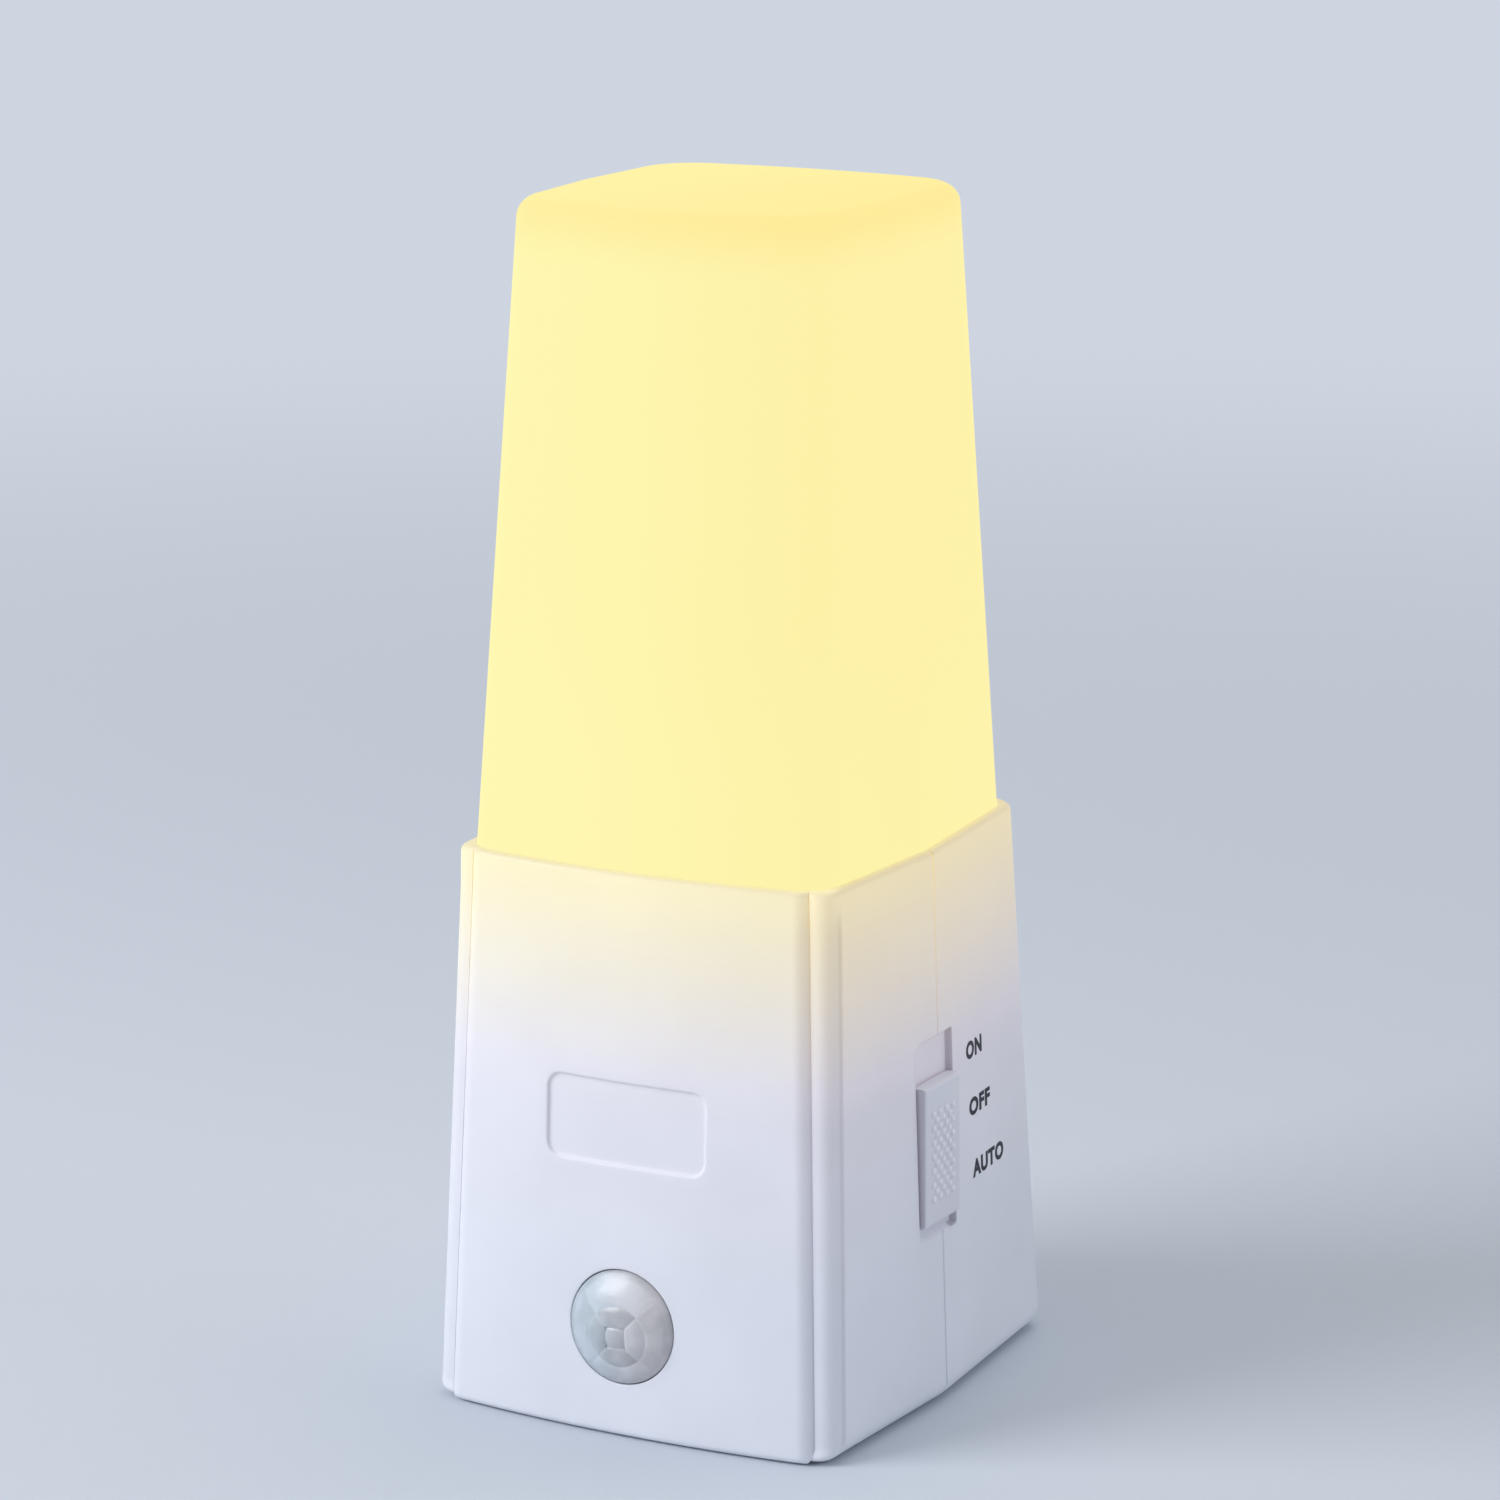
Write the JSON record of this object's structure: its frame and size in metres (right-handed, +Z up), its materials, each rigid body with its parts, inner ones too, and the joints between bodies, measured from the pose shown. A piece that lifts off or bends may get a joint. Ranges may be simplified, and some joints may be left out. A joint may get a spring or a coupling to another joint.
{
  "type": "motion sensor night light",
  "caption": "Free-standing battery night light: tapered white two-part base with a motion sensor lens, a side slide switch and a rear battery door under a tall lit diffuser.",
  "frame": {"origin": "on the floor, under the middle of the base", "axes": "+Z up, -Y out of the front with the sensor lens, +X out of the side with the switch"},
  "size_m": [0.063, 0.0696, 0.1598],
  "materials": {
    "shell_white": "fine satin moulding",
    "diffuser_warm": "milky translucent moulding, lit from inside",
    "lens_milky": "milky moulded Fresnel lens",
    "knob_white": "fine satin moulding",
    "black_plastic": "plain",
    "board_green": "solder mask",
    "board_white": "white solder mask",
    "steel": "nickel plated",
    "photocell": "plain",
    "capacitor_blue": "sleeved",
    "led_lens": "clear moulded dome",
    "cell_wrap": "plain shrink sleeve",
    "rubber": "plain",
    "wire_red": "plain",
    "wire_black": "plain",
    "wire_cream": "plain",
    "wire_yellow": "plain"
  },
  "bodies": {
    "housing": {"front_shell": "shell_white", "rear_shell": "shell_white", "diffuser": "diffuser_warm", "pir_lens": "lens_milky", "lens_retainer": "black_plastic", "main_board": "board_green", "pir_sensor": "steel", "light_sensor": "photocell", "control_chip": "black_plastic", "capacitors": "capacitor_blue", "board_screws": "steel", "switch_board": "board_green", "switch_body": "steel", "switch_screws": "steel", "light_deck": "shell_white", "deck_screws": "steel", "led_board": "board_white", "leds": "led_lens", "led_screws": "steel", "hinge_pins": "steel", "battery_cells": "cell_wrap", "contact_springs": "steel", "contact_plates": "steel", "shell_screws": "steel", "rubber_feet": "rubber", "battery_lead_red": "wire_red", "battery_lead_black": "wire_black", "led_leads": "wire_cream", "switch_leads": "wire_yellow"},
    "knob": {"switch_knob": "knob_white", "switch_lever": "black_plastic"},
    "door": {"battery_door": "shell_white"}
  },
  "joints": [
    {"name": "switch_slide", "type": "slide", "parent": "housing", "child": "knob", "axis": [-0.0332, 0, 0.9995], "range_m": [0, 0.004]},
    {"name": "door_hinge", "type": "hinge", "parent": "housing", "child": "door", "pos_m": [0, 0.03283, 0.00696], "axis": [-1, 0, 0], "range_deg": [0, 90]}
  ]
}
